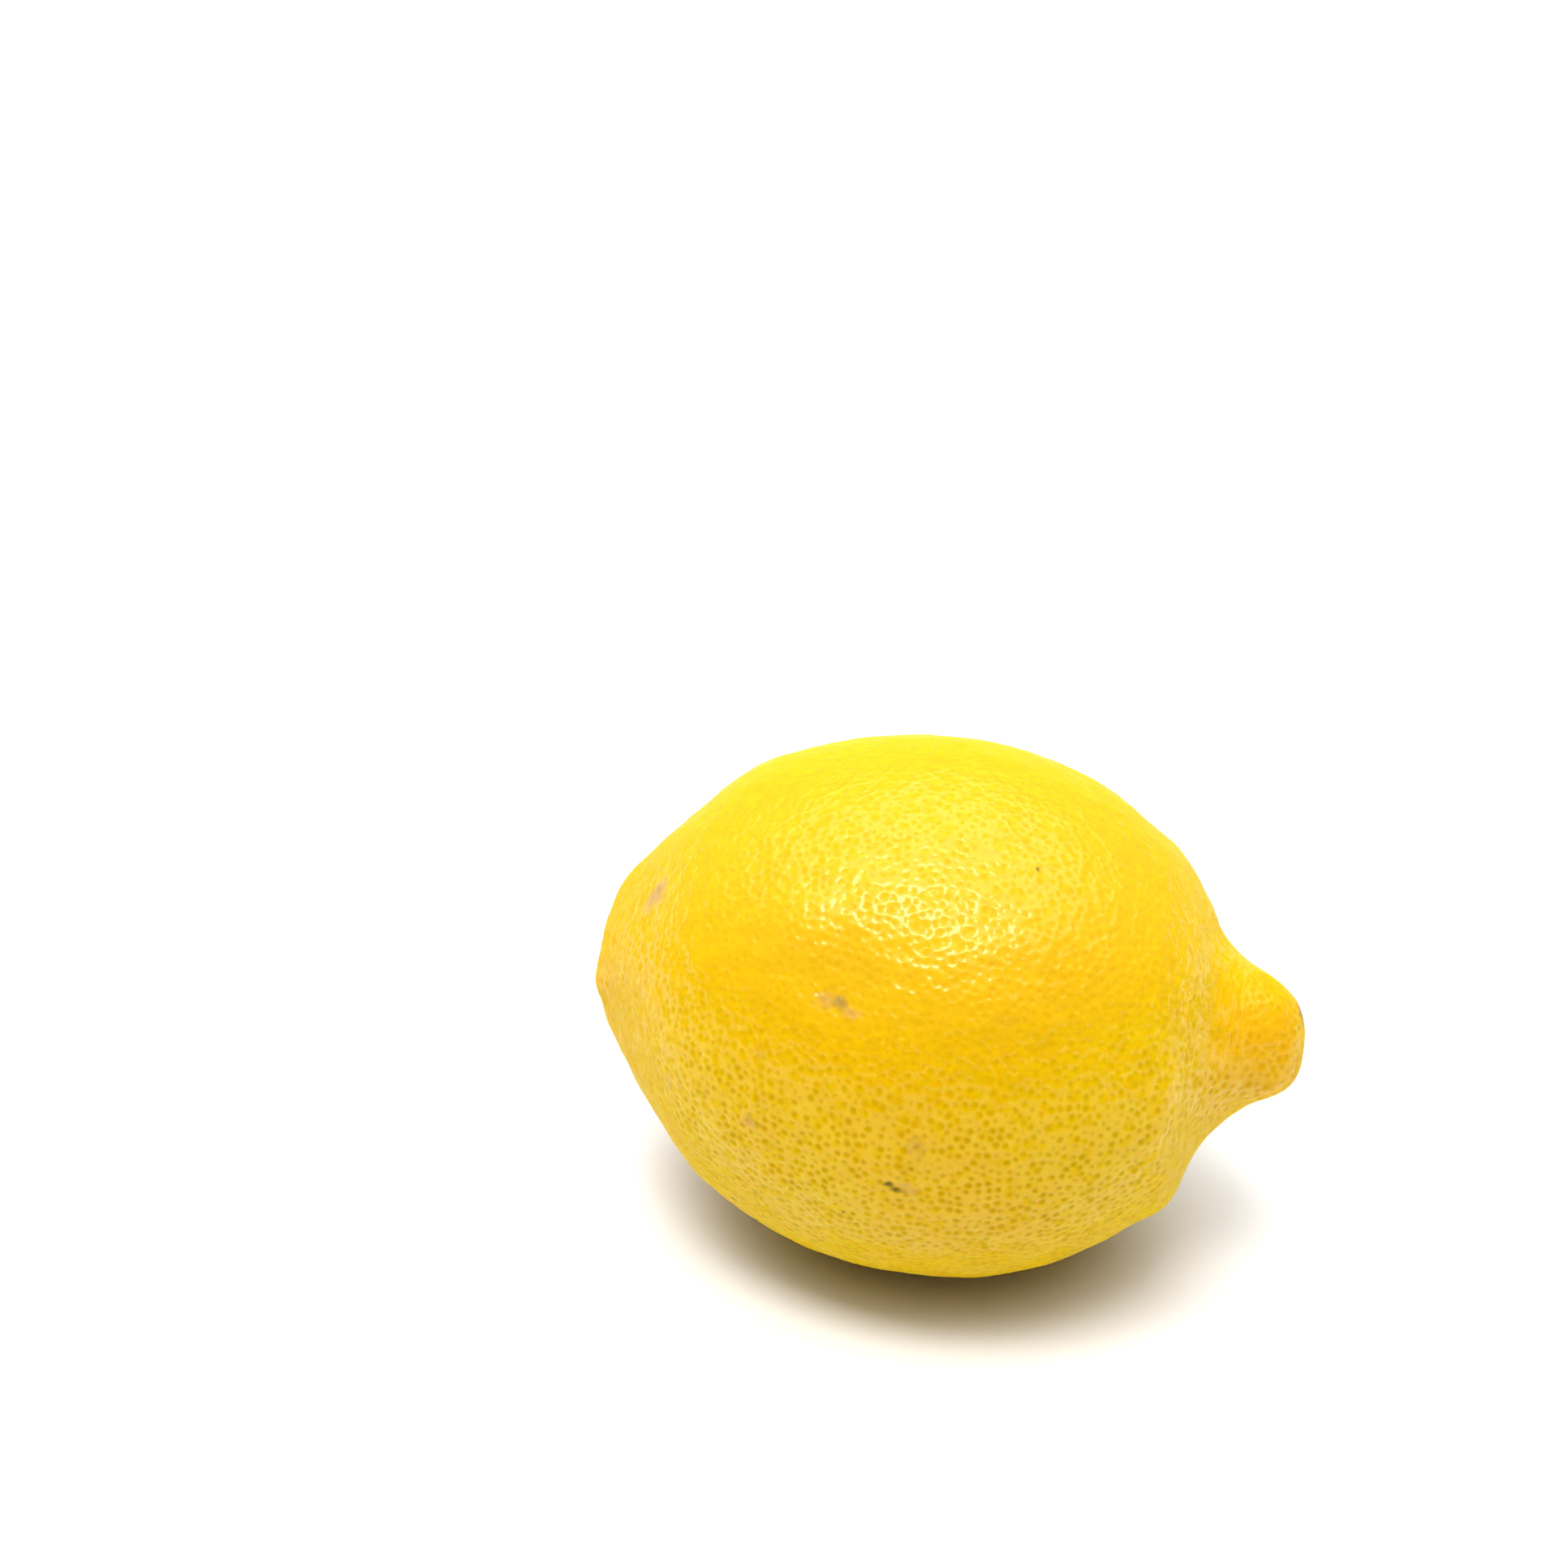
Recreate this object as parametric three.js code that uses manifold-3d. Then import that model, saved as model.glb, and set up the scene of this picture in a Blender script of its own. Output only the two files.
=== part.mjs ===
// A fresh lemon, as picked, lying on its side on the small flat spot that its own weight has pressed.
// Millimetres, +Z up. The fruit's long axis runs along X, with the nipple at +X and the stem end at -X.
// The origin is on the surface it rests on, under the middle of its length and width.
//
// Two pieces: the fruit, which grew as one solid, and the dried calyx with its cut stalk, which sits in
// the hollow of the stem end and drops off by itself when the fruit is old.
import * as THREE from "three";
import { ConvexGeometry } from "three/addons/geometries/ConvexGeometry.js";
import { mergeVertices } from "three/addons/utils/BufferGeometryUtils.js";
import Module from "manifold-3d";

// The fruit's outline, [x, radius] from the nipple's tip to the middle of the stem hollow. The widest
// station is at x = 0.
const WAIST_RADIUS = 31;
const SEAT_X = -35.3;
const OUTLINE = [
  [44.2, 0],
  [43.9, 2.4],
  [42.4, 4.9],
  [39.4, 7.1],
  [36.6, 9.0],
  [34.8, 10.4],
  [33.6, 12.4],
  [32.3, 16.4],
  [28.5, 21.0],
  [20.3, 26.8],
  [10.6, 30.2],
  [0, WAIST_RADIUS],
  [-10.9, 29.1],
  [-20.9, 24.8],
  [-28.1, 18.1],
  [-31.8, 14.0],
  [-34.6, 10.8],
  [-36.4, 8.2],
  [-36.4, 6.4],
  [-35.6, 5.2],
  [SEAT_X, 4.2],
  [SEAT_X, 0],
];

// The round of the fruit is never true: low waves [lobes, share of radius, phase in degrees] run along
// it, and narrow ribs fade out from the collar and from the root of the nipple.
const WAVES = [
  [2, 0.008, 20],
  [3, 0.006, 75],
  [5, 0.003, 10],
];
const COLLAR_RIBS = { lobes: 7, share: 0.03, x: -31, spread: 5.5 };
const NIPPLE_RIBS = { lobes: 6, share: 0.02, x: 34, spread: 4.5 };
// A shallow dent in one side, at an angle round the axis from +Y towards +Z.
const DENT = { x: -2.1, spread: 5, angle: 150, width: 10, share: 0.014 };
// The root of the nipple is full on its lower side and drawn in on its upper one, as a sharp furrow.
const NIPPLE_ROOT = { x: 32.8, spread: 2.9, angle: -112, share: 0.13 };
// The axis isn't straight: it rises evenly towards the stem end, and steps up at the nipple's root.
const STEM_RISE = { height: 1.5, from: 5, to: 45 };
const NIPPLE_RISE = { height: 1.7, from: 25, to: 37 };
const FLAT_DEPTH = 0.5;

// The peel's dimples are drawn larger than life: one in about four points of the skin is sunk a little,
// except in the stem hollow and close to the flat spot.
const SKIN_POINTS = 5200;
const DIMPLE_DEPTH = 0.3;
const DIMPLE_SEED = 11;
const CLEAR_OF_SEAT = 9;
const CLEAR_OF_GROUND = 2.2;

// The calyx: a five-lobed star of dry sepals, pressed to the fruit round the stub of the cut stalk.
const CALYX_GAP = 0.3;
const CALYX_LOBES = 5;
const LOBE_RADIUS = 4.4;
const LOBE_NOTCH = 0.26;
const SEPAL_THICKNESS = 0.8;
const STALK_RADIUS = 1.7;
const STALK_LENGTH = 1.9;
const CALYX_SEGMENTS = 60;

const wasm = await Module();
wasm.setup();

// A closed three.js geometry as a manifold-3d solid.
function solid(geometry) {
  const bare = geometry.clone();
  bare.deleteAttribute("normal");
  bare.deleteAttribute("uv");
  const merged = mergeVertices(bare, 1e-4);
  return new wasm.Manifold(
    new wasm.Mesh({
      numProp: 3,
      vertProperties: merged.attributes.position.array,
      triVerts: new Uint32Array(merged.index.array),
    }),
  );
}

// A manifold-3d solid as a three.js geometry.
function geometryOf(made) {
  const mesh = made.getMesh();
  const geometry = new THREE.BufferGeometry();
  geometry.setAttribute("position", new THREE.BufferAttribute(mesh.vertProperties, 3));
  geometry.setIndex(new THREE.BufferAttribute(mesh.triVerts, 1));
  geometry.computeVertexNormals();
  return geometry;
}

// A repeatable source of numbers from 0 to 1.
function seededRandom(seed) {
  let state = seed;
  return () => {
    state = (state * 1664525 + 1013904223) % 4294967296;
    return state / 4294967296;
  };
}

const bell = (distance, spread) => Math.exp(-((distance / spread) ** 2));

// How far the fruit's axis at a station x rises over its height at the waist.
function rise(x) {
  const towardsStem = THREE.MathUtils.smoothstep(-x, STEM_RISE.from, STEM_RISE.to);
  const towardsNipple = THREE.MathUtils.smoothstep(x, NIPPLE_RISE.from, NIPPLE_RISE.to);
  return STEM_RISE.height * towardsStem + NIPPLE_RISE.height * towardsNipple;
}

// Points spread evenly over a ball, joined to a closed skin of nearly equal triangles.
function evenBall(count) {
  const turn = Math.PI * (3 - Math.sqrt(5));
  const points = [];
  for (let i = 0; i < count; i++) {
    const x = 1 - (2 * i + 1) / count;
    const ring = Math.sqrt(1 - x * x);
    points.push(new THREE.Vector3(x, ring * Math.cos(turn * i), ring * Math.sin(turn * i)));
  }
  const ball = new ConvexGeometry(points);
  ball.deleteAttribute("normal");
  return mergeVertices(ball, 1e-6);
}

const outline = new THREE.CatmullRomCurve3(
  OUTLINE.map(([x, radius]) => new THREE.Vector3(x, radius, 0)),
  false,
  "centripetal",
);
outline.arcLengthDivisions = 2000;

// The radius's share of the outline's at a station x and an angle round the axis.
function roundness(x, angle) {
  let share = 1;
  for (const [lobes, size, phase] of WAVES) {
    share += size * Math.cos(lobes * angle + THREE.MathUtils.degToRad(phase));
  }
  for (const ribs of [COLLAR_RIBS, NIPPLE_RIBS]) {
    share += ribs.share * Math.cos(ribs.lobes * angle) * bell(x - ribs.x, ribs.spread);
  }
  const fromRoot = angle - THREE.MathUtils.degToRad(NIPPLE_ROOT.angle);
  share += NIPPLE_ROOT.share * Math.cos(fromRoot) * bell(x - NIPPLE_ROOT.x, NIPPLE_ROOT.spread);
  const fromDent = THREE.MathUtils.radToDeg(angle) - DENT.angle;
  return share - DENT.share * bell(x - DENT.x, DENT.spread) * bell(fromDent, DENT.width);
}

// A direction on the unit ball, to its place on the fruit about the fruit's own axis.
function onFruit(direction) {
  const along = Math.acos(THREE.MathUtils.clamp(direction.x, -1, 1)) / Math.PI;
  const angle = Math.atan2(direction.z, direction.y);
  const { x, y: plainRadius } = outline.getPointAt(along);
  const radius = plainRadius * roundness(x, angle);
  return new THREE.Vector3(x, radius * Math.cos(angle), radius * Math.sin(angle) + rise(x));
}

// Picks points of the skin so that no two are neighbours, in a seeded order.
function dimplePoints(index, count, allowed) {
  const neighbours = Array.from({ length: count }, () => new Set());
  for (let i = 0; i < index.length; i += 3) {
    for (let k = 0; k < 3; k++) {
      neighbours[index[i + k]].add(index[i + ((k + 1) % 3)]);
      neighbours[index[i + k]].add(index[i + ((k + 2) % 3)]);
    }
  }
  const random = seededRandom(DIMPLE_SEED);
  const order = Array.from({ length: count }, (_, i) => [random(), i]).sort((a, b) => a[0] - b[0]);
  const chosen = new Set();
  for (const [, i] of order) {
    if (allowed(i) && ![...neighbours[i]].some((n) => chosen.has(n))) chosen.add(i);
  }
  return chosen;
}

// The fruit: an even ball drawn out to the outline, dimpled, and pressed flat where it lies.
function makeFruit(axisHeight) {
  const skin = evenBall(SKIN_POINTS);
  const position = skin.attributes.position;
  const point = new THREE.Vector3();
  for (let i = 0; i < position.count; i++) {
    point.fromBufferAttribute(position, i);
    const placed = onFruit(point);
    position.setXYZ(i, placed.x, placed.y, placed.z + axisHeight);
  }
  skin.computeVertexNormals();
  const normal = skin.attributes.normal;
  const seat = new THREE.Vector3(SEAT_X, 0, axisHeight + rise(SEAT_X));
  const dimpled = (i) => {
    point.fromBufferAttribute(position, i);
    return point.z > CLEAR_OF_GROUND && point.distanceTo(seat) > CLEAR_OF_SEAT;
  };
  for (const i of dimplePoints(skin.index.array, position.count, dimpled)) {
    position.setXYZ(
      i,
      position.getX(i) - DIMPLE_DEPTH * normal.getX(i),
      position.getY(i) - DIMPLE_DEPTH * normal.getY(i),
      position.getZ(i) - DIMPLE_DEPTH * normal.getZ(i),
    );
  }
  const below = new THREE.BoxGeometry(100, 100, 20).translate(0, 0, -10);
  return geometryOf(solid(skin).subtract(solid(below)));
}

// The calyx and its stub, turned about -X and standing on its seat.
function makeCalyx() {
  const base = CALYX_GAP;
  const edge = LOBE_RADIUS;
  const profile = [
    [0, base],
    [edge * 0.5, base],
    [edge * 0.9, base + 0.1],
    [edge, base + 0.35],
    [edge * 0.94, base + 0.6],
    [edge * 0.7, base + SEPAL_THICKNESS],
    [STALK_RADIUS + 0.45, base + SEPAL_THICKNESS + 0.15],
    [STALK_RADIUS + 0.1, base + SEPAL_THICKNESS + 0.5],
    [STALK_RADIUS, base + STALK_LENGTH - 0.2],
    [STALK_RADIUS - 0.2, base + STALK_LENGTH],
    [STALK_RADIUS * 0.4, base + STALK_LENGTH - 0.05],
    [0, base + STALK_LENGTH - 0.15],
  ];
  const lathe = new THREE.LatheGeometry(
    profile.map(([radius, height]) => new THREE.Vector2(radius, height)),
    CALYX_SEGMENTS,
  );
  const position = lathe.attributes.position;
  for (let i = 0; i < position.count; i++) {
    const radius = Math.hypot(position.getX(i), position.getZ(i));
    const angle = Math.atan2(position.getZ(i), position.getX(i));
    const outwards = THREE.MathUtils.smoothstep(radius, STALK_RADIUS, LOBE_RADIUS);
    const lobes = 1 - outwards * LOBE_NOTCH * (0.5 - 0.5 * Math.cos(CALYX_LOBES * angle)) ** 0.7;
    position.setX(i, position.getX(i) * lobes);
    position.setZ(i, position.getZ(i) * lobes);
  }
  return lathe.rotateZ(Math.PI / 2);
}

const axisHeight = WAIST_RADIUS * roundness(0, -Math.PI / 2) - FLAT_DEPTH;

const peelYellow = new THREE.MeshStandardMaterial({ color: 0xf5c518, roughness: 0.42, metalness: 0 });
const calyxGreen = new THREE.MeshStandardMaterial({ color: 0x7a7440, roughness: 0.85, metalness: 0 });

const fruit = new THREE.Mesh(makeFruit(axisHeight), peelYellow);
fruit.name = "fruit";

const calyx = new THREE.Mesh(makeCalyx(), calyxGreen);
calyx.name = "calyx";
calyx.position.set(SEAT_X, 0, axisHeight + rise(SEAT_X));

const lemon = new THREE.Group();
lemon.name = "lemon";
lemon.add(fruit, calyx);
const middle = new THREE.Box3().setFromObject(lemon, true).getCenter(new THREE.Vector3());
lemon.position.set(-middle.x, -middle.y, 0);

export default lemon;
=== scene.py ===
# A whole fresh lemon on a pale table. Metres, +Z up, in the frame of the solids.
from math import atan2, cos, radians, sin

import bpy
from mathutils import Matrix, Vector
from mathutils.kdtree import KDTree


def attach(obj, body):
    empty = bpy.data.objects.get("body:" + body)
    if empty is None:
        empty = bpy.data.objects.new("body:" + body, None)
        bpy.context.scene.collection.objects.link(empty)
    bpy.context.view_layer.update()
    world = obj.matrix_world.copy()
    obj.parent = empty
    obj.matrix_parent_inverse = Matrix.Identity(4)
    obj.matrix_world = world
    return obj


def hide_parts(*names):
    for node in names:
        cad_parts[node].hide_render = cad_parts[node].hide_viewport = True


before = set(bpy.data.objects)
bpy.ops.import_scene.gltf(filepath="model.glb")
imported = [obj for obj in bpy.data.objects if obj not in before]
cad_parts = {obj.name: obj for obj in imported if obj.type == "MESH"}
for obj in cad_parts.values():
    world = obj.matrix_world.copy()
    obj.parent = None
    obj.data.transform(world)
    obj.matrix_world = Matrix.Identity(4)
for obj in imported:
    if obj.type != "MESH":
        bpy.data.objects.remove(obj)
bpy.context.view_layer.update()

# The fruit
# One piece: a waxy yellow peel over an oval body, with a blunt nipple at one end and a low collar round
# the stem hollow at the other. The peel is full of oil glands, small pits about a millimetre apart.
AXIS_HEIGHT = 0.0305
BLOCK_SIZE = 0.07
BLOCK_CUTS = 7
ROUND_SHARES = (0.98, 0.77, 0.77)
NIPPLE_SIDE = 0.030
NIPPLE_CROWN = 0.002
NIPPLE_PULL = 0.008
NIPPLE_PULL_REACH = 0.016
NIPPLE_ROOT = 0.0305
NIPPLE_TIP = 0.0350
MERGE_DISTANCE = 0.00001


def select_only(piece):
    bpy.ops.object.select_all(action="DESELECT")
    piece.select_set(True)
    bpy.context.view_layer.objects.active = piece


def apply_modifiers(piece):
    select_only(piece)
    for modifier in list(piece.modifiers):
        bpy.ops.object.modifier_apply(modifier=modifier.name)


# The fruit's form is taken from its solid: a copy, with the solid's coarse dimples and facets evened out.
fruit_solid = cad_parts["fruit"]
form = bpy.data.objects.new("fruit_form", fruit_solid.data.copy())
bpy.context.scene.collection.objects.link(form)
select_only(form)
bpy.ops.object.mode_set(mode="EDIT")
bpy.ops.mesh.select_all(action="SELECT")
bpy.ops.mesh.remove_doubles(threshold=MERGE_DISTANCE)
bpy.ops.object.mode_set(mode="OBJECT")
even_out = form.modifiers.new("even_out", "SMOOTH")
even_out.factor = 0.5
even_out.iterations = 2
round_off = form.modifiers.new("round_off", "SUBSURF")
round_off.levels = 2
round_off.render_levels = 2
apply_modifiers(form)

# The peel starts as a block of even squares, rounded, drawn out where the nipple comes, and pulled on to
# that form.
bpy.ops.object.select_all(action="DESELECT")
bpy.ops.mesh.primitive_cube_add(size=BLOCK_SIZE, location=(0.0, 0.0, AXIS_HEIGHT))
fruit = bpy.context.object
fruit.name = "lemon_fruit"
bpy.ops.object.mode_set(mode="EDIT")
bpy.ops.mesh.select_all(action="SELECT")
bpy.ops.mesh.subdivide(number_cuts=BLOCK_CUTS)
bpy.ops.transform.tosphere(value=1.0)
bpy.ops.transform.resize(value=ROUND_SHARES)
bpy.ops.mesh.select_all(action="DESELECT")
bpy.ops.object.mode_set(mode="OBJECT")
for vertex in fruit.data.vertices:
    vertex.select = vertex.co.x > NIPPLE_SIDE and Vector(vertex.co.yz).length < NIPPLE_CROWN
bpy.ops.object.mode_set(mode="EDIT")
bpy.ops.transform.translate(
    value=(NIPPLE_PULL, 0.0, 0.0),
    use_proportional_edit=True,
    proportional_edit_falloff="SMOOTH",
    proportional_size=NIPPLE_PULL_REACH,
)
bpy.ops.object.mode_set(mode="OBJECT")
bpy.ops.object.transform_apply(location=True, rotation=True, scale=True)
finer = fruit.modifiers.new("finer", "SUBSURF")
finer.levels = 4
finer.render_levels = 4
hug = fruit.modifiers.new("hug", "SHRINKWRAP")
hug.target = form
hug.wrap_method = "NEAREST_SURFACEPOINT"
relax = fruit.modifiers.new("relax", "SMOOTH")
relax.factor = 0.5
relax.iterations = 12
hug_again = fruit.modifiers.new("hug_again", "SHRINKWRAP")
hug_again.target = form
hug_again.wrap_method = "NEAREST_SURFACEPOINT"
settle = fruit.modifiers.new("settle", "SMOOTH")
settle.factor = 0.5
settle.iterations = 5
apply_modifiers(fruit)
bpy.data.objects.remove(form)

# The nipple is the tightest round of the form, where the solid's facets show for longest, so it is
# smoothed some more.
on_nipple = fruit.vertex_groups.new(name="on_nipple")
for vertex in fruit.data.vertices:
    if vertex.co.x > NIPPLE_ROOT:
        share = min((vertex.co.x - NIPPLE_ROOT) / (NIPPLE_TIP - NIPPLE_ROOT), 1.0)
        on_nipple.add([vertex.index], share, "REPLACE")
soften = fruit.modifiers.new("soften", "SMOOTH")
soften.vertex_group = "on_nipple"
soften.factor = 0.5
soften.iterations = 28
apply_modifiers(fruit)

# No fruit is true: soft swells a centimetre across, and the quilted unevenness of a peel.
for name, size, height in (("swells", 0.014, 0.0005), ("quilting", 0.0036, 0.00018)):
    pattern = bpy.data.textures.new(name, "CLOUDS")
    pattern.noise_scale = size
    swell = fruit.modifiers.new(name, "DISPLACE")
    swell.texture = pattern
    swell.texture_coords = "LOCAL"
    swell.strength = height
apply_modifiers(fruit)

# Small dents and bumps from its time on the tree: each point is pushed along its own direction.
DENTS = (
    # place, how far, and over what reach
    ((-0.0038, -0.0255, 0.0475), (0.0000, 0.00030, -0.00018), 0.0065),
    ((-0.0110, -0.0215, 0.0505), (-0.0001, -0.00018, 0.00022), 0.0055),
    ((0.0140, -0.0180, 0.0520), (0.0001, -0.00016, 0.00022), 0.0070),
    ((0.0050, -0.0300, 0.0240), (0.0000, 0.00025, 0.00008), 0.0080),
    ((-0.0220, 0.0160, 0.0470), (0.0001, -0.00022, -0.00022), 0.0070),
    ((0.0100, 0.0270, 0.0400), (0.0000, -0.00035, -0.00010), 0.0090),
    ((0.0200, 0.0120, 0.0510), (-0.0001, -0.00012, -0.00025), 0.0060),
    ((-0.0060, 0.0300, 0.0250), (0.0000, 0.00025, 0.00000), 0.0080),
    ((0.0385, -0.0005, 0.0380), (0.0007, 0.00000, 0.00075), 0.0085),
    ((0.0395, -0.0035, 0.0300), (0.0005, -0.00035, -0.00050), 0.0060),
    ((-0.0383, -0.0098, 0.0322), (-0.0005, -0.00035, -0.00010), 0.0042),
)
peel_points = KDTree(len(fruit.data.vertices))
for number, vertex in enumerate(fruit.data.vertices):
    peel_points.insert(vertex.co, number)
peel_points.balance()
bpy.ops.object.mode_set(mode="EDIT")
bpy.ops.mesh.select_all(action="DESELECT")
for dent_place, push, reach in DENTS:
    bpy.ops.object.mode_set(mode="OBJECT")
    chosen = peel_points.find(dent_place)[1]
    fruit.data.vertices[chosen].select = True
    bpy.ops.object.mode_set(mode="EDIT")
    bpy.ops.transform.translate(
        value=push,
        use_proportional_edit=True,
        proportional_edit_falloff="SMOOTH",
        proportional_size=reach,
    )
    bpy.ops.mesh.select_all(action="DESELECT")
bpy.ops.object.mode_set(mode="OBJECT")

# The glands: points scattered over the peel, none closer to another than GLAND_GAP.
GLAND_GAP = 0.00086
GLAND_TRIES_PER_SQUARE_METRE = 5.0e6
scatter = bpy.data.node_groups.new("scatter_glands", "GeometryNodeTree")
scatter.interface.new_socket("Geometry", in_out="INPUT", socket_type="NodeSocketGeometry")
scatter.interface.new_socket("Geometry", in_out="OUTPUT", socket_type="NodeSocketGeometry")
scatter_in = scatter.nodes.new("NodeGroupInput")
scatter_out = scatter.nodes.new("NodeGroupOutput")
strew = scatter.nodes.new("GeometryNodeDistributePointsOnFaces")
strew.distribute_method = "POISSON"
strew.inputs["Distance Min"].default_value = GLAND_GAP
strew.inputs["Density Max"].default_value = GLAND_TRIES_PER_SQUARE_METRE
strew.inputs["Seed"].default_value = 7
as_vertices = scatter.nodes.new("GeometryNodePointsToVertices")
scatter.links.new(scatter_in.outputs["Geometry"], strew.inputs["Mesh"])
scatter.links.new(strew.outputs["Points"], as_vertices.inputs["Points"])
scatter.links.new(as_vertices.outputs["Mesh"], scatter_out.inputs["Geometry"])
glands = bpy.data.objects.new("glands", fruit.data.copy())
bpy.context.scene.collection.objects.link(glands)
glands.modifiers.new("scatter", "NODES").node_group = scatter
apply_modifiers(glands)
nearest_gland = KDTree(len(glands.data.vertices))
for number, vertex in enumerate(glands.data.vertices):
    nearest_gland.insert(vertex.co, number)
nearest_gland.balance()
bpy.data.objects.remove(glands)

# Each face remembers the three glands nearest to it, and each vertex sinks by how close it is to one.
PIT_RADIUS = 0.00062
PIT_DEPTH = 0.00003
GLANDS_OF_A_FACE = ("gland_near", "gland_next", "gland_third")
glands_of_faces = [fruit.data.attributes.new(name, "FLOAT_VECTOR", "FACE") for name in GLANDS_OF_A_FACE]
for face in fruit.data.polygons:
    for glands_of_face, (spot, _, _) in zip(glands_of_faces, nearest_gland.find_n(face.center, 3)):
        glands_of_face.data[face.index].vector = spot
pit_weight = fruit.vertex_groups.new(name="pit")
for vertex in fruit.data.vertices:
    distance = nearest_gland.find(vertex.co)[2]
    if distance < PIT_RADIUS:
        pit_weight.add([vertex.index], 1.0 - (distance / PIT_RADIUS) ** 2, "REPLACE")
sink = fruit.modifiers.new("sink", "DISPLACE")
sink.vertex_group = "pit"
sink.mid_level = 0.0
sink.strength = -PIT_DEPTH
apply_modifiers(fruit)

# The flat spot that it lies on: nothing reaches below the table's top.
for vertex in fruit.data.vertices:
    vertex.co.z = max(vertex.co.z, 0.0)
bpy.ops.object.shade_smooth()

# The peel: a strong yellow, deeper in patches and towards both ends, paler in patches low down, with darker
# oil glands, under a coat of wax. Its top is painted paler and bluer, a painted sheen of the overhead light,
# and its glands are painted fainter there.
PEEL_YELLOW = (0.70, 0.480, 0.0)
PEEL_WARM = (0.70, 0.456, 0.0)
PEEL_DEEP = (0.64, 0.405, 0.0)
PEEL_AT_ENDS = (0.70, 0.415, 0.008)
PEEL_PAINTED_SHEEN_ON_TOP = (0.70, 0.460, 0.028)
PEEL_LOW_DOWN = (0.70, 0.47, 0.06)
GLAND_OIL = (0.80, 0.77, 0.42)
WRINKLE_CREST_HIGHLIGHT = (0.74, 0.49, 0.07)

peel = bpy.data.materials.new("peel")
peel.use_nodes = True
nodes = peel.node_tree.nodes
link = peel.node_tree.links.new
shader = nodes["Principled BSDF"]
place = nodes.new("ShaderNodeTexCoord").outputs["Object"]


def noise(size, detail=2.0):
    """A noise pattern with waves of this size, in metres."""
    node = nodes.new("ShaderNodeTexNoise")
    node.inputs["Scale"].default_value = 1.0 / size
    node.inputs["Detail"].default_value = detail
    link(place, node.inputs["Vector"])
    return node.outputs["Fac"]


def ramp(value, low, high, to_low=0.0, to_high=1.0):
    """value from low to high, eased into to_low to to_high."""
    node = nodes.new("ShaderNodeMapRange")
    node.interpolation_type = "SMOOTHSTEP"
    for socket, setting in zip(("From Min", "From Max", "To Min", "To Max"), (low, high, to_low, to_high)):
        if isinstance(setting, float):
            node.inputs[socket].default_value = setting
        else:
            link(setting, node.inputs[socket])
    link(value, node.inputs["Value"])
    return node.outputs["Result"]


def calculate(operation, *settings):
    """One step of arithmetic, on numbers and on the outputs of other nodes."""
    node = nodes.new("ShaderNodeMath")
    node.operation = operation
    for socket, setting in zip(node.inputs, settings):
        if isinstance(setting, float):
            socket.default_value = setting
        else:
            link(setting, socket)
    return node.outputs["Value"]


def tint(share, base, colour, blend="MIX"):
    """base, changed towards colour by share."""
    node = nodes.new("ShaderNodeMix")
    node.data_type = "RGBA"
    node.blend_type = blend
    link(share, node.inputs["Factor"])
    for socket, setting in ((node.inputs["A"], base), (node.inputs["B"], colour)):
        if isinstance(setting, tuple):
            socket.default_value = (*setting, 1.0)
        else:
            link(setting, socket)
    return node.outputs["Result"]


# How far a point is from the nearest gland. Where two glands are as near, their bowls meet softly.
SOFT_MEETING = 0.00022
reaches = []
for name in GLANDS_OF_A_FACE:
    gland = nodes.new("ShaderNodeAttribute")
    gland.attribute_name = name
    from_gland = nodes.new("ShaderNodeVectorMath")
    from_gland.operation = "DISTANCE"
    link(place, from_gland.inputs[0])
    link(gland.outputs["Vector"], from_gland.inputs[1])
    chance = nodes.new("ShaderNodeTexWhiteNoise")
    link(gland.outputs["Vector"], chance.inputs["Vector"])
    own_size = ramp(chance.outputs["Value"], 0.0, 1.0, -0.00010, 0.00014)
    reaches.append(calculate("ADD", from_gland.outputs["Value"], own_size))
from_nearest = calculate("SMOOTH_MIN", reaches[0], reaches[1], SOFT_MEETING)
from_nearest = calculate("SMOOTH_MIN", from_nearest, reaches[2], SOFT_MEETING)
bowl = ramp(from_nearest, 0.00000, 0.00064)
in_gland = ramp(from_nearest, 0.00004, 0.00054, 1.0, 0.0)

# The wax is quilted besides, in small uneven cells that are wider than the glands.
CELL_SIZE = 0.0017
cells = nodes.new("ShaderNodeTexVoronoi")
cells.feature = "SMOOTH_F1"
cells.inputs["Scale"].default_value = 1.0 / CELL_SIZE
cells.inputs["Smoothness"].default_value = 0.20
link(place, cells.inputs["Vector"])
from_cell = cells.outputs["Distance"]

# The colour: the place on the fruit decides how deep the yellow is, and how strongly the glands show.
apart = nodes.new("ShaderNodeSeparateXYZ")
link(place, apart.inputs["Vector"])
along = apart.outputs["X"]
up = apart.outputs["Z"]
colour = tint(ramp(noise(0.022), 0.35, 0.65), PEEL_YELLOW, PEEL_WARM)
colour = tint(ramp(noise(0.0022, 4.0), 0.35, 0.75, 0.0, 0.45), colour, PEEL_DEEP)
towards_stem = ramp(along, -0.036, -0.018, 0.65, 0.0)
towards_nipple = ramp(along, 0.026, 0.036, 0.0, 0.80)
colour = tint(calculate("ADD", towards_stem, towards_nipple), colour, PEEL_AT_ENDS)
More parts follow.
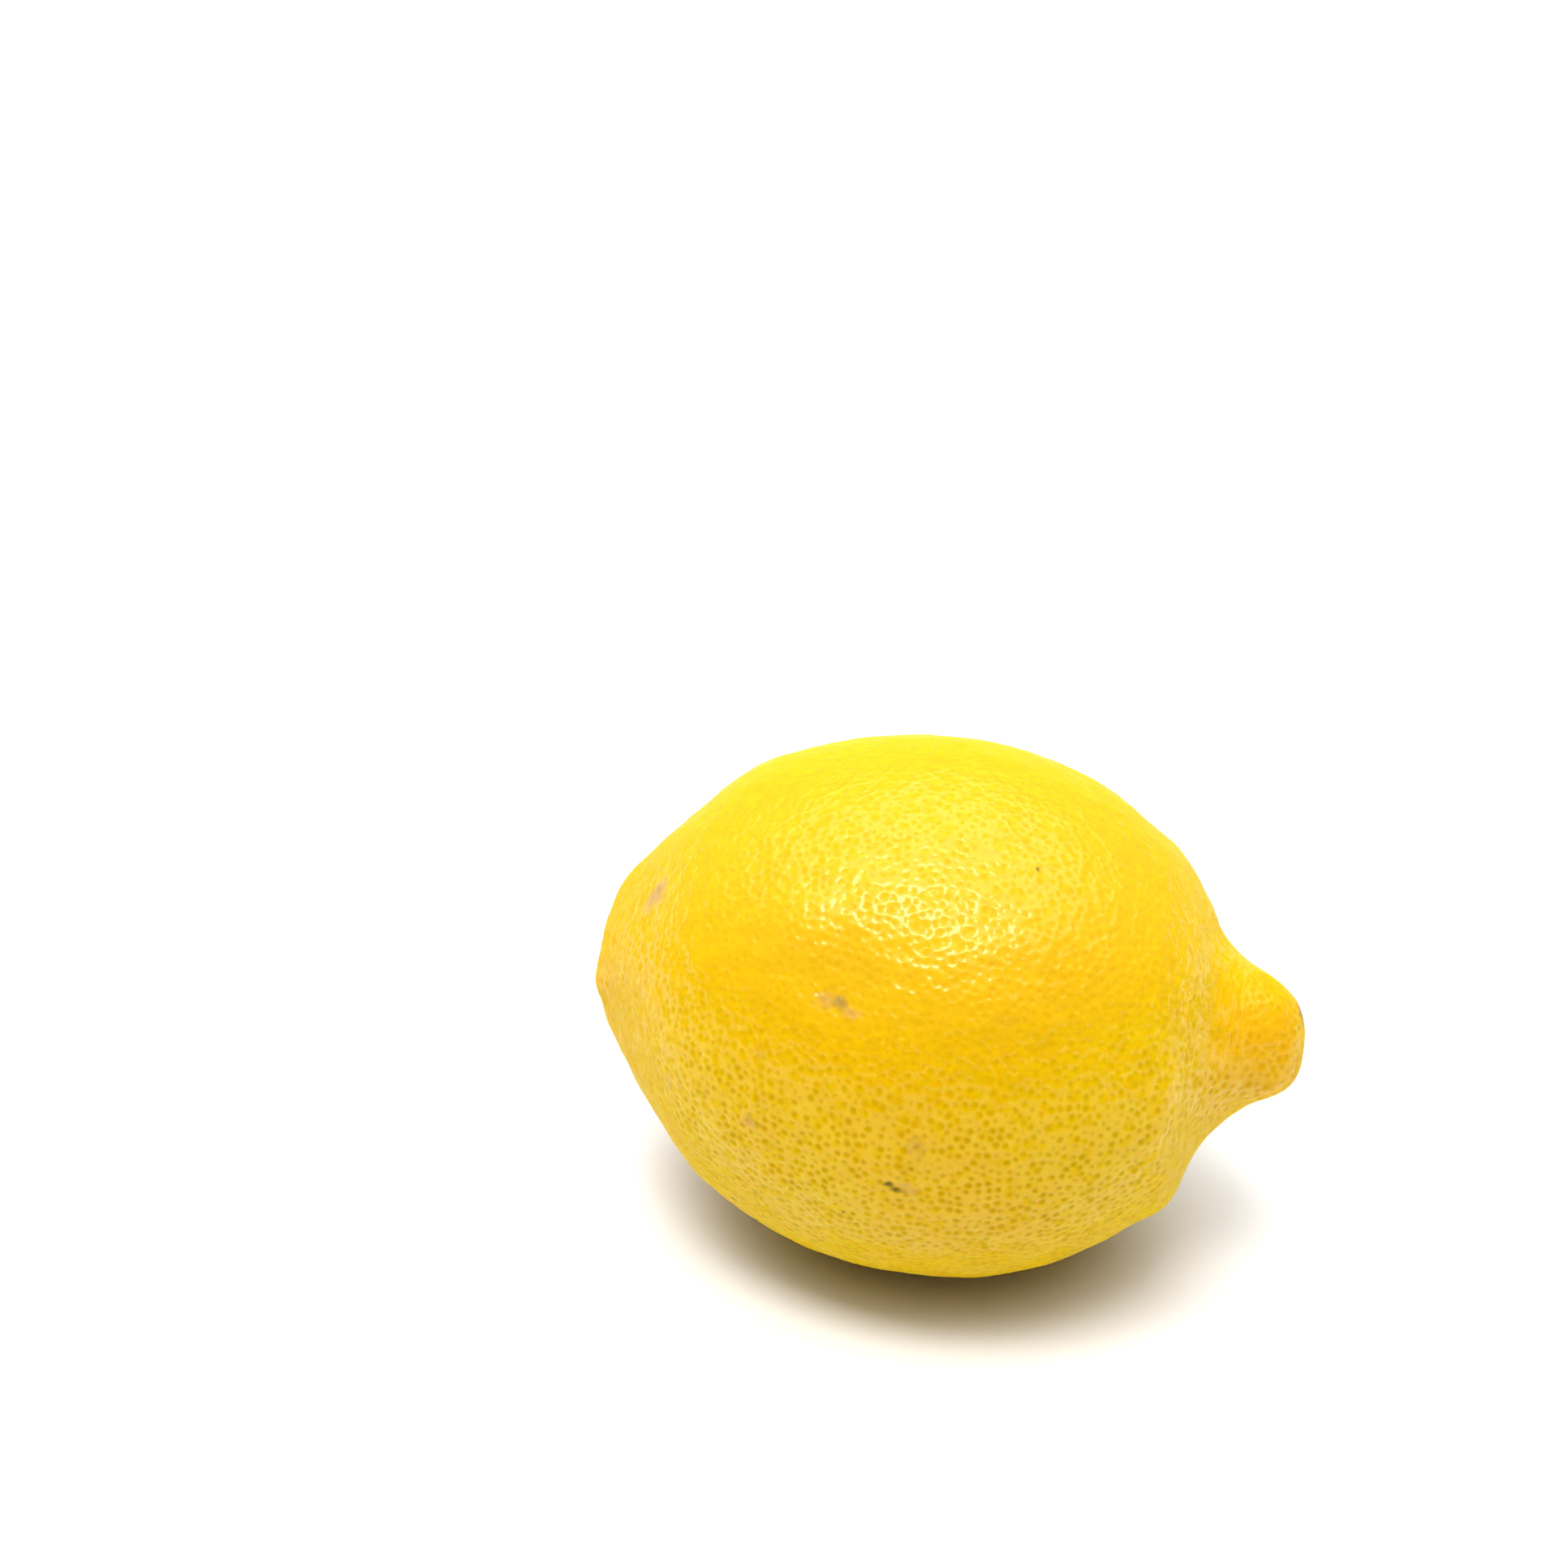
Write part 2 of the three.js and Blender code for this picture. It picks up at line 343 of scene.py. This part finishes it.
# Painted sheen: the top of the peel is painted paler and bluer, where the overhead light lays a haze of
# reflection.
colour = tint(ramp(up, 0.040, 0.055, 0.0, 0.65), colour, PEEL_PAINTED_SHEEN_ON_TOP)
low_down = ramp(up, 0.006, 0.030, 0.55, 0.0)
pale_patches = calculate("MULTIPLY", ramp(noise(0.006, 3.0), 0.42, 0.62), low_down)
colour = tint(pale_patches, colour, PEEL_LOW_DOWN)
gland_strength = ramp(noise(0.0024, 3.0), 0.3, 0.7, 0.50, 1.0)
# Painted light: the glands are painted fainter on top, as if washed out by the strong overhead light.
gland_strength = calculate("MULTIPLY", gland_strength, ramp(up, 0.026, 0.050, 1.0, 0.25))
gland_strength = calculate("MULTIPLY", gland_strength, ramp(along, 0.026, 0.036, 1.0, 0.75))
gland_strength = calculate("MULTIPLY", gland_strength, ramp(along, -0.036, -0.012, 0.45, 1.0))
colour = tint(calculate("MULTIPLY", in_gland, gland_strength), colour, GLAND_OIL, "MULTIPLY")

# Fine wrinkles run round the root of the nipple and the edge of the collar. Their crests are painted paler,
# a painted highlight along the wrinkles.
WRINKLES_PER_METRE = (2000.0, 330.0, 330.0)
stretched = nodes.new("ShaderNodeMapping")
stretched.inputs["Scale"].default_value = WRINKLES_PER_METRE
link(place, stretched.inputs["Vector"])
wrinkle_noise = nodes.new("ShaderNodeTexNoise")
wrinkle_noise.inputs["Scale"].default_value = 1.0
link(stretched.outputs["Vector"], wrinkle_noise.inputs["Vector"])
past_shoulder = ramp(along, 0.0260, 0.0300)
at_root = calculate("MULTIPLY", past_shoulder, ramp(along, 0.0325, 0.0370, 1.0, 0.0))
past_rim = ramp(along, -0.0365, -0.0340)
at_collar = calculate("MULTIPLY", past_rim, ramp(along, -0.0300, -0.0260, 1.0, 0.0))
at_collar = calculate("MULTIPLY", at_collar, ramp(up, 0.030, 0.044, 1.0, 0.35))
wrinkled = calculate("ADD", at_root, at_collar)
# Painted highlight: the crests of the wrinkles are painted paler.
wrinkle_crest_highlight = ramp(wrinkle_noise.outputs["Fac"], 0.50, 0.62, 0.0, 0.60)
colour = tint(calculate("MULTIPLY", wrinkle_crest_highlight, wrinkled), colour, WRINKLE_CREST_HIGHLIGHT)

# Marks that the fruit carries: rubs, healed scratches and specks, each a ragged patch of its own colour.
RAGGED_WAVE = 1.0 / 1300.0
mark = bpy.data.node_groups.new("mark", "ShaderNodeTree")
for name, kind in (("Place", "Vector"), ("Middle", "Vector"), ("Reach", "Vector"), ("Raggedness", "Float")):
    mark.interface.new_socket(name, in_out="INPUT", socket_type="NodeSocket" + kind)
mark.interface.new_socket("Mask", in_out="OUTPUT", socket_type="NodeSocketFloat")
mark_in = mark.nodes.new("NodeGroupInput")
mark_out = mark.nodes.new("NodeGroupOutput")
ragged = mark.nodes.new("ShaderNodeTexNoise")
ragged.inputs["Scale"].default_value = 1.0 / RAGGED_WAVE
ragged.inputs["Detail"].default_value = 3.0
centred = mark.nodes.new("ShaderNodeVectorMath")
centred.operation = "SUBTRACT"
centred.inputs[1].default_value = (0.5, 0.5, 0.5)
stray = mark.nodes.new("ShaderNodeVectorMath")
stray.operation = "SCALE"
strayed = mark.nodes.new("ShaderNodeVectorMath")
strayed.operation = "ADD"
from_middle = mark.nodes.new("ShaderNodeVectorMath")
from_middle.operation = "SUBTRACT"
in_reaches = mark.nodes.new("ShaderNodeVectorMath")
in_reaches.operation = "DIVIDE"
how_far = mark.nodes.new("ShaderNodeVectorMath")
how_far.operation = "LENGTH"
soft_edge = mark.nodes.new("ShaderNodeMapRange")
soft_edge.interpolation_type = "SMOOTHSTEP"
soft_edge.inputs["From Min"].default_value = 1.0
soft_edge.inputs["From Max"].default_value = 0.15
for start, end in (
    (mark_in.outputs["Place"], ragged.inputs["Vector"]),
    (ragged.outputs["Color"], centred.inputs[0]),
    (centred.outputs["Vector"], stray.inputs["Vector"]),
    (mark_in.outputs["Raggedness"], stray.inputs["Scale"]),
    (stray.outputs["Vector"], strayed.inputs[0]),
    (mark_in.outputs["Place"], strayed.inputs[1]),
    (strayed.outputs["Vector"], from_middle.inputs[0]),
    (mark_in.outputs["Middle"], from_middle.inputs[1]),
    (from_middle.outputs["Vector"], in_reaches.inputs[0]),
    (mark_in.outputs["Reach"], in_reaches.inputs[1]),
    (in_reaches.outputs["Vector"], how_far.inputs[0]),
    (how_far.outputs["Value"], soft_edge.inputs["Value"]),
    (soft_edge.outputs["Result"], mark_out.inputs["Mask"]),
):
    mark.links.new(start, end)

RUB = (0.57, 0.36, 0.115)
BRUISE = (0.41, 0.26, 0.085)
SHADE = (0.64, 0.41, 0.012)
DARK = (0.15, 0.11, 0.015)
BROWN = (0.26, 0.13, 0.045)
MARKS = (
    # middle, reach along X, Y and Z, raggedness, colour, share
    ((-0.0301, -0.0112, 0.0464), (0.0021, 0.0021, 0.0016), 0.0018, RUB, 0.90),
    ((-0.0308, -0.0114, 0.0454), (0.0021, 0.0024, 0.0022), 0.0018, RUB, 0.90),
    ((-0.0316, -0.0112, 0.0441), (0.0017, 0.0021, 0.0020), 0.0018, RUB, 0.80),
    ((-0.0306, -0.0112, 0.0458), (0.0011, 0.0014, 0.0009), 0.0014, BRUISE, 0.35),
    ((-0.0067, -0.0264, 0.0451), (0.0022, 0.0018, 0.0013), 0.0020, RUB, 0.65),
    ((-0.0052, -0.0267, 0.0451), (0.0012, 0.0014, 0.0011), 0.0010, BRUISE, 0.90),
    ((-0.0038, -0.0270, 0.0444), (0.0017, 0.0012, 0.0008), 0.0014, RUB, 0.75),
    ((0.0015, -0.0310, 0.0268), (0.0009, 0.0010, 0.0005), 0.0006, DARK, 0.90),
    ((0.0022, -0.0310, 0.0262), (0.0009, 0.0010, 0.0006), 0.0008, DARK, 0.85),
    ((0.0030, -0.0309, 0.0260), (0.0010, 0.0010, 0.0004), 0.0008, DARK, 0.45),
    ((0.0031, -0.0310, 0.0270), (0.0013, 0.0012, 0.0008), 0.0020, RUB, 0.55),
    ((0.0042, -0.0309, 0.0262), (0.0012, 0.0012, 0.0007), 0.0018, RUB, 0.45),
    ((0.0044, -0.0308, 0.0320), (0.0016, 0.0014, 0.0016), 0.0024, BRUISE, 0.40),
    ((0.0046, -0.0308, 0.0313), (0.0011, 0.0012, 0.0009), 0.0016, SHADE, 0.90),
    ((-0.0142, -0.0293, 0.0303), (0.0012, 0.0012, 0.0012), 0.0014, RUB, 0.70),
    ((-0.0134, -0.0283, 0.0384), (0.0010, 0.0012, 0.0016), 0.0018, SHADE, 0.90),
    ((0.0118, -0.0248, 0.0450), (0.0020, 0.0014, 0.0010), 0.0018, SHADE, 0.85),
    ((-0.0233, -0.0255, 0.0314), (0.0014, 0.0014, 0.0022), 0.0024, SHADE, 0.90),
    ((-0.0250, -0.0243, 0.0300), (0.0010, 0.0014, 0.0018), 0.0018, RUB, 0.45),
    ((0.0121, -0.0123, 0.0561), (0.0003, 0.0004, 0.0004), 0.0003, DARK, 0.80),
    ((-0.0064, -0.0289, 0.0191), (0.0003, 0.0004, 0.0003), 0.0002, DARK, 0.60),
    ((-0.0035, -0.0301, 0.0215), (0.0003, 0.0004, 0.0003), 0.0002, DARK, 0.70),
    ((-0.0181, -0.0235, 0.0151), (0.0010, 0.0006, 0.0004), 0.0004, DARK, 0.90),
    ((0.0402, 0.0007, 0.0359), (0.0014, 0.0021, 0.0022), 0.0006, BROWN, 0.95),
    ((0.0081, 0.0277, 0.0406), (0.0018, 0.0014, 0.0012), 0.0018, RUB, 0.70),
    ((0.0094, 0.0272, 0.0412), (0.0008, 0.0010, 0.0008), 0.0010, BRUISE, 0.80),
    ((-0.0160, 0.0187, 0.0513), (0.0013, 0.0016, 0.0012), 0.0016, SHADE, 0.85),
    ((0.0220, 0.0107, 0.0507), (0.0004, 0.0005, 0.0004), 0.0003, DARK, 0.80),
    ((-0.0240, 0.0240, 0.0360), (0.0010, 0.0012, 0.0020), 0.0018, RUB, 0.60),
    ((0.0040, 0.0310, 0.0270), (0.0012, 0.0010, 0.0005), 0.0008, DARK, 0.70),
    ((0.0170, 0.0270, 0.0260), (0.0016, 0.0012, 0.0018), 0.0020, SHADE, 0.85),
)
for middle, reach, raggedness, mark_colour, share in MARKS:
    spot = nodes.new("ShaderNodeGroup")
    spot.node_tree = mark
    link(place, spot.inputs["Place"])
    spot.inputs["Middle"].default_value = middle
    spot.inputs["Reach"].default_value = reach
    spot.inputs["Raggedness"].default_value = raggedness
    colour = tint(calculate("MULTIPLY", spot.outputs["Mask"], share), colour, mark_colour)
link(colour, shader.inputs["Base Color"])

# The relief, from fine to coarse: the grain of the skin, the wrinkles, and the bowls of the glands. The
# wax on top shows the bowls and its own quilting more strongly.
GRAIN_DEPTH = 0.00003
WRINKLE_DEPTH = 0.00014
BOWL_DEPTH = 0.00004
WAX_DEPTH = 0.00007
WAX_QUILTING = 2.2
grain = nodes.new("ShaderNodeBump")
grain.inputs["Strength"].default_value = 0.6
grain.inputs["Distance"].default_value = GRAIN_DEPTH
link(noise(0.0006, 3.0), grain.inputs["Height"])
wrinkles = nodes.new("ShaderNodeBump")
wrinkles.inputs["Strength"].default_value = 1.0
wrinkles.inputs["Distance"].default_value = WRINKLE_DEPTH
wrinkle_height = calculate("MULTIPLY", wrinkle_noise.outputs["Fac"], wrinkled)
link(wrinkle_height, wrinkles.inputs["Height"])
link(grain.outputs["Normal"], wrinkles.inputs["Normal"])
quilting = calculate("MULTIPLY", ramp(from_cell, 0.05, 0.62), WAX_QUILTING)
quilted = calculate("ADD", quilting, bowl)
for relief, depth, normal in ((bowl, BOWL_DEPTH, "Normal"), (quilted, WAX_DEPTH, "Coat Normal")):
    pits = nodes.new("ShaderNodeBump")
    pits.inputs["Strength"].default_value = 1.0
    pits.inputs["Distance"].default_value = depth
    link(relief, pits.inputs["Height"])
    link(wrinkles.outputs["Normal"], pits.inputs["Normal"])
    link(pits.outputs["Normal"], shader.inputs[normal])

# The wax lies thick on the ridges between the glands and the cells, and thin in their bowls.
waxed = ramp(noise(0.004), 0.3, 0.7, 0.85, 1.0)
facing = nodes.new("ShaderNodeLayerWeight").outputs["Facing"]
waxed = calculate("MULTIPLY", waxed, ramp(facing, 0.42, 0.78, 1.0, 0.06))
waxed = calculate("MULTIPLY", waxed, ramp(from_cell, 0.26, 0.48, 0.35, 1.0))
link(ramp(from_nearest, 0.00014, 0.00038, 0.03, waxed), shader.inputs["Coat Weight"])
shader.inputs["Coat Roughness"].default_value = 0.12
shader.inputs["Coat IOR"].default_value = 1.41
link(ramp(noise(0.003), 0.3, 0.7, 0.40, 0.52), shader.inputs["Roughness"])
shader.inputs["IOR"].default_value = 1.40
shader.inputs["Specular IOR Level"].default_value = 0.05
shader.inputs["Subsurface Weight"].default_value = 1.0
shader.inputs["Subsurface Radius"].default_value = (1.0, 0.55, 0.10)
shader.inputs["Subsurface Scale"].default_value = 0.0012
fruit.data.materials.append(peel)
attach(fruit, "root")
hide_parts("fruit")

# The calyx
# The dry green-brown star that held the fruit to its twig, with the stub of the cut stalk in its middle.
# It lies in the stem hollow with its five lobes pressed to the peel.
CALYX_RINGS = (
    # radius, height over the seat, and the share of the radius that is left between two lobes
    (0.00135, 0.00186, 1.0),
    (0.00160, 0.00180, 1.0),
    (0.00166, 0.00125, 1.0),
    (0.00215, 0.00104, 0.97),
    (0.00265, 0.00100, 0.93),
    (0.00340, 0.00092, 0.84),
    (0.00400, 0.00082, 0.74),
    (0.00428, 0.00066, 0.66),
    (0.00420, 0.00042, 0.66),
    (0.00260, 0.00032, 0.90),
)
STEM_SEAT = Vector((-0.0386, 0.0, 0.0314))
LOBES = 5
STEPS_ROUND = 40
CUT_RIM = 0.0007
CUT_HOLLOW = 0.00012
LOBE_WARP = 0.00012
SAME_PLACE = 0.00001

# It is made flat, ring by ring from the cut face of the stub outwards, and then turned to face the stem end.
bpy.ops.object.select_all(action="DESELECT")
first_radius, first_height, _ = CALYX_RINGS[0]
bpy.ops.mesh.primitive_circle_add(
    vertices=STEPS_ROUND, radius=first_radius, fill_type="NGON", location=(0.0, 0.0, first_height)
)
calyx = bpy.context.object
calyx.name = "lemon_calyx"
bpy.ops.object.transform_apply(location=True, rotation=False, scale=False)
bpy.ops.object.mode_set(mode="EDIT")
bpy.ops.mesh.select_all(action="SELECT")
bpy.ops.mesh.inset(thickness=CUT_RIM, depth=-CUT_HOLLOW)
bpy.ops.mesh.select_all(action="SELECT")
bpy.ops.mesh.region_to_loop()
for (radius, height, _), (next_radius, next_height, _) in zip(CALYX_RINGS, CALYX_RINGS[1:]):
    bpy.ops.mesh.extrude_edges_move(TRANSFORM_OT_translate={"value": (0.0, 0.0, next_height - height)})
    grow = next_radius / radius
    bpy.ops.transform.resize(value=(grow, grow, 1.0), center_override=(0.0, 0.0, next_height))
bpy.ops.mesh.edge_face_add()
bpy.ops.object.mode_set(mode="OBJECT")
for vertex in calyx.data.vertices:
    reach = Vector(vertex.co.xy).length
    for radius, height, waist in CALYX_RINGS:
        if abs(reach - radius) < SAME_PLACE and abs(vertex.co.z - height) < SAME_PLACE:
            turn = atan2(vertex.co.y, vertex.co.x)
            between = 0.5 - 0.5 * cos(LOBES * turn)
            vertex.co.xy = vertex.co.xy * (1.0 - (1.0 - waist) * between ** 0.8)
            vertex.co.z += LOBE_WARP * sin(3.0 * turn) * (1.0 - waist)
calyx.rotation_euler = (0.0, radians(-90.0), 0.0)
calyx.location = STEM_SEAT
bpy.ops.object.transform_apply(location=True, rotation=True, scale=True)
rounded = calyx.modifiers.new("rounded", "SUBSURF")
rounded.levels = 3
rounded.render_levels = 3
for name, size, height in (("shrivelled", 0.0016, 0.00022), ("rough", 0.0005, 0.00008)):
    pattern = bpy.data.textures.new(name, "CLOUDS")
    pattern.noise_scale = size
    shrivel = calyx.modifiers.new(name, "DISPLACE")
    shrivel.texture = pattern
    shrivel.texture_coords = "LOCAL"
    shrivel.strength = height
apply_modifiers(calyx)
bpy.ops.object.shade_smooth()

# Dry bark: olive on the lobes, browner at their edges, and pale wood with a dark pith where it was cut.
BARK_OLIVE = (0.20, 0.165, 0.05)
BARK_BROWN = (0.11, 0.075, 0.028)
BARK_EDGE = (0.075, 0.045, 0.02)
BARK_FLECK = (0.36, 0.30, 0.17)
WOOD_PALE = (0.48, 0.36, 0.19)
WOOD_DARK = (0.34, 0.23, 0.11)
PITH = (0.16, 0.09, 0.04)
FIBRES_ROUND = 34.0
bark = bpy.data.materials.new("dry_calyx")
bark.use_nodes = True
nodes = bark.node_tree.nodes
link = bark.node_tree.links.new
shader = nodes["Principled BSDF"]
place = nodes.new("ShaderNodeTexCoord").outputs["Object"]
from_seat = nodes.new("ShaderNodeVectorMath")
from_seat.operation = "SUBTRACT"
link(place, from_seat.inputs[0])
from_seat.inputs[1].default_value = STEM_SEAT
apart = nodes.new("ShaderNodeSeparateXYZ")
link(from_seat.outputs["Vector"], apart.inputs["Vector"])
out_squared = calculate(
    "ADD",
    calculate("MULTIPLY", apart.outputs["Y"], apart.outputs["Y"]),
    calculate("MULTIPLY", apart.outputs["Z"], apart.outputs["Z"]),
)
from_axis = calculate("POWER", out_squared, 0.5)
around = calculate("ARCTAN2", apart.outputs["Z"], apart.outputs["Y"])
fibres = calculate("MULTIPLY", around, FIBRES_ROUND)
streaks = calculate("SINE", calculate("ADD", fibres, calculate("MULTIPLY", noise(0.002), 9.0)))
colour = tint(ramp(noise(0.0012, 4.0), 0.35, 0.65), BARK_OLIVE, BARK_BROWN)
colour = tint(ramp(from_axis, 0.0028, 0.0043, 0.0, 0.7), colour, BARK_EDGE)
colour = tint(ramp(noise(0.0004), 0.62, 0.7, 0.0, 0.6), colour, BARK_FLECK)
on_stub = ramp(from_axis, 0.00125, 0.00142, 1.0, 0.0)
cut = calculate("MULTIPLY", on_stub, ramp(apart.outputs["X"], -0.0016, -0.0015, 1.0, 0.0))
wood = tint(ramp(noise(0.0005, 4.0), 0.3, 0.7), WOOD_PALE, WOOD_DARK)
wood = tint(ramp(from_axis, 0.0003, 0.0006, 0.8, 0.0), wood, PITH)
colour = tint(cut, colour, wood)
link(colour, shader.inputs["Base Color"])
link(ramp(noise(0.001), 0.3, 0.7, 0.7, 0.92), shader.inputs["Roughness"])
bark_relief = nodes.new("ShaderNodeBump")
bark_relief.inputs["Strength"].default_value = 0.7
bark_relief.inputs["Distance"].default_value = 0.00012
bark_height = calculate("ADD", calculate("MULTIPLY", streaks, 0.25), noise(0.0006, 4.0))
link(bark_height, bark_relief.inputs["Height"])
link(bark_relief.outputs["Normal"], shader.inputs["Normal"])
calyx.data.materials.append(bark)
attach(calyx, "root")
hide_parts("calyx")

# The table
# Nothing of the lemon: a plain white top under it, so wide that it ends far behind the fruit.
TABLE_SIZE = 8.0
TABLE_WHITE = (0.81, 0.82, 0.85, 1.0)
bpy.ops.object.select_all(action="DESELECT")
bpy.ops.mesh.primitive_plane_add(size=TABLE_SIZE)
table = bpy.context.object
table.name = "table"
white = bpy.data.materials.new("white_top")
white.use_nodes = True
white_shader = white.node_tree.nodes["Principled BSDF"]
white_shader.inputs["Base Color"].default_value = TABLE_WHITE
white_shader.inputs["Roughness"].default_value = 0.9
table.data.materials.append(white)

# The light
# A room that lights from overhead and little from its walls, and is white where it is seen itself. One
# large soft lamp hangs high up, to the front, and makes the highlights.
WALL_LIGHT = 0.16
CEILING_LIGHT = 3.0
LAMP_WIDTH = 1.20
LAMP_DEPTH = 0.60
LAMP_WATTS = 28.5
room = bpy.data.worlds.new("room")
bpy.context.scene.world = room
room.use_nodes = True
room_nodes = room.node_tree.nodes
room_link = room.node_tree.links.new
looking = room_nodes.new("ShaderNodeTexCoord")
height_of_look = room_nodes.new("ShaderNodeSeparateXYZ")
walls_to_ceiling = room_nodes.new("ShaderNodeMapRange")
walls_to_ceiling.interpolation_type = "SMOOTHSTEP"
walls_to_ceiling.inputs["From Min"].default_value = 0.60
walls_to_ceiling.inputs["From Max"].default_value = 0.90
walls_to_ceiling.inputs["To Min"].default_value = WALL_LIGHT
walls_to_ceiling.inputs["To Max"].default_value = CEILING_LIGHT
room_link(looking.outputs["Generated"], height_of_look.inputs["Vector"])
room_link(height_of_look.outputs["Z"], walls_to_ceiling.inputs["Value"])
seen = room_nodes.new("ShaderNodeLightPath")
pale_where_seen = room_nodes.new("ShaderNodeMix")
pale_where_seen.inputs["B"].default_value = 1.0
room_link(seen.outputs["Is Camera Ray"], pale_where_seen.inputs["Factor"])
room_link(walls_to_ceiling.outputs["Result"], pale_where_seen.inputs["A"])
room_link(pale_where_seen.outputs["Result"], room_nodes["Background"].inputs["Strength"])
room_nodes["Background"].inputs["Color"].default_value = (1.0, 1.0, 1.0, 1.0)

lamp_aim = Vector((0.0, 0.0, 0.030))
lamp_place = Vector((-0.12, -0.78, 2.08))
bpy.ops.object.light_add(type="AREA", location=lamp_place)
lamp = bpy.context.object
lamp.name = "soft_lamp"
lamp.rotation_euler = (lamp_aim - lamp_place).to_track_quat("-Z", "Y").to_euler()
lamp.data.shape = "RECTANGLE"
lamp.data.size = LAMP_WIDTH
lamp.data.size_y = LAMP_DEPTH
lamp.data.energy = LAMP_WATTS

# The camera
# The photograph's view: from the nipple's side of square on, looking down at the fruit.
CAMERA_PLACE = (0.0450, -0.2104, 0.1653)
DEGREES_DOWN = 26.5
DEGREES_ASIDE = 17.0
bpy.ops.object.camera_add(
    location=CAMERA_PLACE,
    rotation=(radians(90.0 - DEGREES_DOWN), 0.0, radians(DEGREES_ASIDE)),
)
camera = bpy.context.object
camera.data.lens = 50.0
camera.data.sensor_width = 36.0
camera.data.clip_start = 0.01
bpy.context.scene.camera = camera
bpy.context.scene.view_settings.view_transform = "Standard"
bpy.context.scene.view_settings.gamma = 0.85
